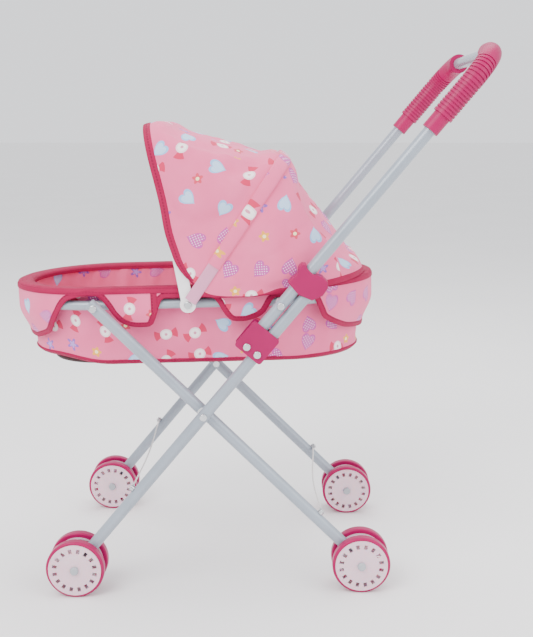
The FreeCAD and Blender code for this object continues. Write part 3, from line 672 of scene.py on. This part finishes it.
def canopy(name, node, first, last, count):
    """One panel of the hood between two angles, sewn with its bindings."""
    angles = np.linspace(first, last, count)
    sewn = np.stack([arch(a) for a in angles])
    width = sewn.shape[1]
    pinned = [(i, j) for i in (0, count - 1) for j in range(width)]
    pinned += [(i, j) for i in range(1, count - 1) for j in (0, width - 1)]
    rows = drape(sewn, False, pinned, slack=0.02, cap=5.0)
    across = np.sin(np.linspace(0, math.pi, count))[:, None]
    rows = crease(rows, False, depth=2.2, spacing=34.0, strength=across * np.ones(width))
    rows = sewn + (rows - sewn) * free_of_edges(count, width)
    keep_outside_bows(rows)
    uv = lengths_uv(rows, False)
    cloth = Cloth()
    cloth.sheet(rows, uv, CANOPY_CLOTH, 0, bands=hood_layout(rows, angles))
    normals = surface_normals(rows, False)
    thick = CANOPY_CLOTH + 1.2
    for side, way in ((0, 1), (-1, -1)):
        line, up = rows[:, side], rows[:, side + way] - rows[:, side]
        up /= np.linalg.norm(up, axis=1, keepdims=True)
        cloth.tape(line, normals[:, side], up, TAPE, thick, 1)
    if first > REAR_BOW + 5:
        back = rows[1] - rows[0]
        back /= np.linalg.norm(back, axis=1, keepdims=True)
        cloth.tape(rows[0], normals[0], back, HEM_TAPE, thick, 1)
    if last < REAR_BOW - 5:
        forward = rows[-2] - rows[-1]
        forward /= np.linalg.norm(forward, axis=1, keepdims=True)
        cloth.tape(rows[-1], normals[-1], forward, TAPE, thick, 1)
    piece = cloth.make(name, [MATERIALS["print_cloth"], BINDING])
    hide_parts(node)
    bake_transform(piece)


canopy(
    "canopy_front_cloth", "canopy_front", HOOD_HEM, REAR_BOW + 0.2, 40,
)
canopy(
    "canopy_rear_cloth", "canopy_rear", REAR_BOW - 0.2, HOOD_REAR, 40,
)


def hood_sleeve():
    """The print tunnel that holds the rear bow, and the strip's bare ends below it."""
    width, thick, bare = 14.0, 4.2, 6
    line = arch(REAR_BOW, CANOPY_HALF + 1.2, 1.0, 4.0)
    inward = arch(REAR_BOW - 1.0, CANOPY_HALF + 1.2, 1.0, 4.0) - line
    inward[:] = inward[len(line) // 2] / np.linalg.norm(inward[len(line) // 2])
    normals = np.cross(inward, np.gradient(line, axis=0))
    normals /= np.linalg.norm(normals, axis=1, keepdims=True)
    cloth = Cloth()
    last = len(line)
    for part, wide, high, slot in (
        (slice(bare, last - bare), width, thick, 0),
        (slice(0, bare + 2), width - 1.5, 1.6, 1),
        (slice(last - bare - 2, last), width - 1.5, 1.6, 1),
    ):
        back = inward[part] * ((wide / 2 - high / 2) * MM)
        cloth.tape(line[part] - back, normals[part], inward[part], wide, high, slot)
    piece = cloth.make("hood_sleeve", [MATERIALS["print_cloth"], STRIP])
    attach(piece, "rear_bow")


hood_sleeve()

# ---- carrycot ------------------------------------------------------------

RING_STEPS = 288


def ring(half, front, rear, height):
    """Points round a long oval, evenly spaced, starting at its rear tip."""
    straight, round_end = rear - front, math.pi * half
    total = 2 * (straight + round_end)
    points = []
    for k in range(RING_STEPS):
        run = (total * k / RING_STEPS + straight * 2 + round_end * 1.5) % total
        if run < straight:
            x, y = rear - run, -half
        elif run < straight + round_end:
            turn = (run - straight) / half
            x, y = front - half * math.sin(turn), -half * math.cos(turn)
        elif run < 2 * straight + round_end:
            x, y = front + (run - straight - round_end), half
        else:
            turn = (run - 2 * straight - round_end) / half
            x, y = rear + half * math.sin(turn), half * math.cos(turn)
        points.append(seat(x, y, height))
    return points


def cot_ring(share):
    """The carrycot's wall at a share of its height, 0 at the floor and 1 at the rim."""
    half = COT_FLOOR_HALF + (COT_TOP_HALF - COT_FLOOR_HALF) * share
    front = FLOOR_FRONT + (FRONT_ARC - FLOOR_FRONT) * share
    rear = FLOOR_REAR + (REAR_ARC - FLOOR_REAR) * share
    return ring(half, front, rear, COT_FLOOR + (COT_TOP - COT_FLOOR) * share)


def lift_front(rows, share):
    """Raises the floor's front end a little, fading with height up the wall."""
    back = (rows - np.array(seat_pivot)) @ np.array(BACK) / MM
    reach = np.clip((10.0 - back) / 60.0, 0, 1)
    rise = FRONT_LIFT * reach * reach * (3 - 2 * reach) * share
    return rows + np.array(UP) * (rise * MM)[:, :, None]


def outward_from(rows):
    """Unit vectors level with the rail, away from the carrycot's middle line."""
    normals = surface_normals(rows, True)
    centre = rows.mean(axis=(0, 1))
    if np.sum(normals * (rows - centre)) < 0:
        normals = -normals
    return normals


def carrycot():
    count = 24
    rows = np.array([cot_ring(k / (count - 1)) for k in range(count)])
    rows = lift_front(rows, np.linspace(1, 0, count)[:, None])
    pinned = [(i, j) for i in (0, count - 1) for j in range(RING_STEPS)]
    rows = drape(rows, True, pinned, slack=0.025, cap=3.0)
    belly = np.sin(np.linspace(0, math.pi, count))[:, None]
    rows = crease(rows, True, depth=1.8, spacing=42.0, strength=belly * np.ones(RING_STEPS))
    cloth = Cloth()
    uv = lengths_uv(rows, True)
    cloth.sheet(rows, uv, COT_CLOTH, 0, closed=True)
    # the floor closes the bag in rings that shrink to its middle line
    almost_shut, rings = 0.0003, 14
    shares = np.linspace(1.0, almost_shut, rings)
    floor = np.array([
        ring(COT_FLOOR_HALF * s, FLOOR_FRONT, FLOOR_REAR, COT_FLOOR + 1.0) for s in shares
    ])
    floor = lift_front(floor, (shares ** 2)[:, None])
    flat = np.stack([floor @ np.array(BACK), floor[:, :, 1]], axis=2)
    flat = np.concatenate([flat, flat[:, :1]], axis=1)
    cloth.sheet(floor, flat, COT_CLOTH, 0, closed=True)
    normals = outward_from(rows)
    upward = rows[1] - rows[0]
    upward /= np.linalg.norm(upward, axis=1, keepdims=True)
    cloth.tape(rows[0], normals[0], upward, TAPE, COT_CLOTH + 1.2, 1, closed=True)
    piece = cloth.make("cot_cloth", [MATERIALS["print_cloth"], BINDING])
    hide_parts("carrycot")
    return piece


# hanging edge of the rim cover, front to rear, as distance back and height
FLAP_EDGE = [
    (-112, -38), (-80, -38), (-60, -30), (-48, -18), (-41, -8), (-36, 1), (-29, 8), (-12, 11.8),
    (4, 11.6), (11, 3), (17, -7), (25, -18), (37, -22), (52, -22), (58, -19), (62, -5), (65, 8),
    (120, 8), (126, 0), (130, -10), (138, -18), (153, -18), (167, -13), (174, -5), (178, 6),
    (222, 6), (226, -8), (231, -18), (243, -25), (262, -34), (285, -40), (300, -40),
]


def rim_cover():
    """The printed cover over the rail, with hanging flaps bound in tape."""
    over = [
        (RIM_INNER, 13.6), (RIM_INNER + 0.2, 15.6), (RIM_INNER + 2.4, 16.5), (93.5, 17.0),
        (98.0, 16.5), (RIM_OUTER - 0.6, 15.0), (RIM_OUTER, RIM_EDGE),
    ]
    rows = [ring(half, FRONT_ARC, REAR_ARC, height) for half, height in over]
    top = np.array(rows[-1])
    backward = (top - np.array(seat_pivot)) @ np.array(BACK) / MM
    outward = top - np.array(ring(RIM_OUTER - 1, FRONT_ARC, REAR_ARC, RIM_EDGE))
    outward /= np.linalg.norm(outward, axis=1, keepdims=True)
    xs, zs = np.array(FLAP_EDGE, float).T
    edge = np.interp(backward, xs, zs)
    weights = np.array([0.25, 0.5, 0.25])
    edge = np.convolve(np.concatenate([edge[-1:], edge, edge[:1]]), weights, "valid")
    drops = 12
    for k in range(1, drops + 1):
        fall = (RIM_EDGE - edge) * k / drops
        below = np.clip((fall - RIM_EDGE - FLAP_TUCK_START) / FLAP_TUCK_RUN, 0, 1)
        tuck = FLAP_TUCK * below * below * (3 - 2 * below)
        rows.append(top - np.array(UP) * (fall * MM)[:, None] - outward * (tuck * MM)[:, None])
    rows = np.array(rows)
    cloth = Cloth()
    cloth.sheet(rows, lengths_uv(rows, True), RIM_CLOTH, 0, closed=True)
    normals = outward_from(rows)
    lift = np.tile(np.array(UP), (RING_STEPS, 1))
    along = np.roll(rows[-1], -1, 0) - np.roll(rows[-1], 1, 0)
    inward = np.cross(normals[-1], along)
    inward /= np.linalg.norm(inward, axis=1, keepdims=True)
    inward *= np.sign((inward * lift).sum(axis=1, keepdims=True))
    cloth.tape(rows[-1], normals[-1], inward, TAPE, RIM_CLOTH + 0.8, 1, closed=True)
    bound = [
        (RIM_INNER - 1.4, 12.2), (RIM_INNER - 1.5, 15.2), (RIM_INNER + 0.2, 17.3),
        (RIM_INNER + 4.0, 18.1), (93.5, 18.5), (98.0, 18.1), (RIM_OUTER, 17.0),
        (RIM_OUTER + 1.1, 14.8), (RIM_OUTER + 1.2, 12.2),
    ]
    over_top = np.array([ring(half, FRONT_ARC, REAR_ARC, height) for half, height in bound])
    cloth.sheet(over_top, lengths_uv(over_top, True), 0.8, 1, closed=True)
    for side in (-1, 1):
        band = np.array([seat(62.0, side * (RIM_OUTER + 0.9), z) for z in (12.0, 4.0, -4.0, -8.0)])
        face = np.tile(np.array(LEFT_TO_RIGHT * side), (len(band), 1))
        forward = np.tile(-np.array(BACK), (len(band), 1))
        cloth.tape(band, face, forward, TAPE, 1.4, 1)
    piece = cloth.make("rim_cloth", [MATERIALS["print_cloth"], BINDING])
    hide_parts("rim_cover")
    return piece


def base_board():
    """The stiff board under the carrycot, with softly rounded edges; its dark brown is painted shade.
    """
    low = BOARD_TOP - BOARD_THICK
    outline = [
        (SLIT, BOARD_TOP), (BOARD_HALF - 0.8, BOARD_TOP),
        (BOARD_HALF, BOARD_TOP - 0.8), (BOARD_HALF, low + 0.8),
        (BOARD_HALF - 0.8, low), (SLIT, low),
    ]
    rows = np.array([ring(half, FLOOR_FRONT, FLOOR_REAR, z) for half, z in outline])
    cloth = Cloth()
    cloth.patch(rows, lengths_uv(rows, True), 0, closed=True)
    piece = cloth.make("base_board_panel", [MATERIALS["brown_board"]])
    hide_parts("base_board")
    return piece


cot, rim, board = carrycot(), rim_cover(), base_board()
for soft, slot, share in (
    (cot, "print_cloth", 0.3), (rim, "print_cloth", 0.72), (board, "brown_board", 0.3)
):
    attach(soft, "seat_frame")
    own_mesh(soft)

# ---- tie cords -----------------------------------------------------------

CORD_RADIUS, CORD_HEIGHT, CORD_BEND, CRIMP = 0.8, 7.6, 50.0, 5.5


def tie_cord(node, body, axle, along, side, half_span, droop):
    """A thin cord between two legs, nearly taut, from crimp to crimp."""
    foot, cross = middle(axle), middle("cross_pivot_bolts")
    out = (cross - foot).normalized()
    square = Vector((-out.z, 0, out.x)) * side
    slope = math.radians(droop)
    corner = half_span - CRIMP - CORD_BEND * math.tan(slope / 2)
    fall = corner * math.tan(slope)

    def spot(y, drop):
        place = foot + (out * along + square * (CORD_HEIGHT - drop)) * MM
        return Vector((place.x, y * MM, place.z))

    route = [
        spot(-half_span, 0), spot(-corner, 0), spot(0, fall), spot(corner, 0), spot(half_span, 0),
    ]
    curve = bpy.data.curves.new(node + "_line", "CURVE")
    curve.dimensions, curve.bevel_depth, curve.bevel_resolution = "3D", CORD_RADIUS * MM, 4
    spline = curve.splines.new("NURBS")
    spline.points.add(len(route) - 1)
    for point, place in zip(spline.points, route):
        point.co = (*place, 1.0)
    spline.order_u, spline.use_endpoint_u, spline.resolution_u = 3, True, 16
    curve.materials.append(MATERIALS["white_cord"])
    piece = bpy.data.objects.new(node + "_line", curve)
    bpy.context.scene.collection.objects.link(piece)
    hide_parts(node)
    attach(piece, body)


tie_cord(
    "front_cord", "front_frame", "front_axles", along=100.6, side=1, half_span=118.8, droop=2.0
)
tie_cord(
    "rear_cord", "rear_frame", "rear_axles", along=66.0, side=-1, half_span=105.8, droop=4.5
)

# ---- room, light and camera ----------------------------------------------


def floor():
    s = Shader("floor")
    s.set(Base_Color=s.mix(s.noise(3.0), colour("#F1F0EF"), colour("#F8F7F6")), Roughness=0.8)
    bpy.ops.mesh.primitive_plane_add(size=60.0, location=(0, 0, 0))
    plane = bpy.context.object
    plane.name = "floor"
    plane.data.materials.append(s.material)


def softbox(name, place, size, power):
    lamp = bpy.data.lights.new(name, "AREA")
    lamp.size, lamp.energy = size, power
    holder = bpy.data.objects.new(name, lamp)
    holder.location = place
    holder.rotation_euler = (Vector((0, 0, 0.25)) - Vector(place)).to_track_quat("-Z", "Y").to_euler()
    bpy.context.scene.collection.objects.link(holder)


def camera():
    lens = bpy.data.cameras.new("camera")
    lens.sensor_width, lens.lens = 36.0, 56.48
    lens.clip_start, lens.clip_end = 0.01, 50.0
    holder = bpy.data.objects.new("camera", lens)
    holder.location = (0.03026, -1.0912, 0.4747)
    holder.rotation_euler = (math.radians(90 - 10.85), 0, math.radians(0.452))
    bpy.context.scene.collection.objects.link(holder)
    bpy.context.scene.camera = holder


floor()
softbox("key", (-0.9, -1.3, 1.7), size=1.2, power=42.0)
softbox("fill", (1.4, -0.9, 1.1), size=1.4, power=17.0)
softbox("top", (0.1, 0.6, 1.9), size=1.6, power=24.0)
world = bpy.data.worlds.new("room")
world.use_nodes = True
sky = world.node_tree.nodes["Background"]
sky.inputs["Color"].default_value = (0.95, 0.96, 1.0, 1.0)
sky.inputs["Strength"].default_value = 1.45
bpy.context.scene.world = world
camera()
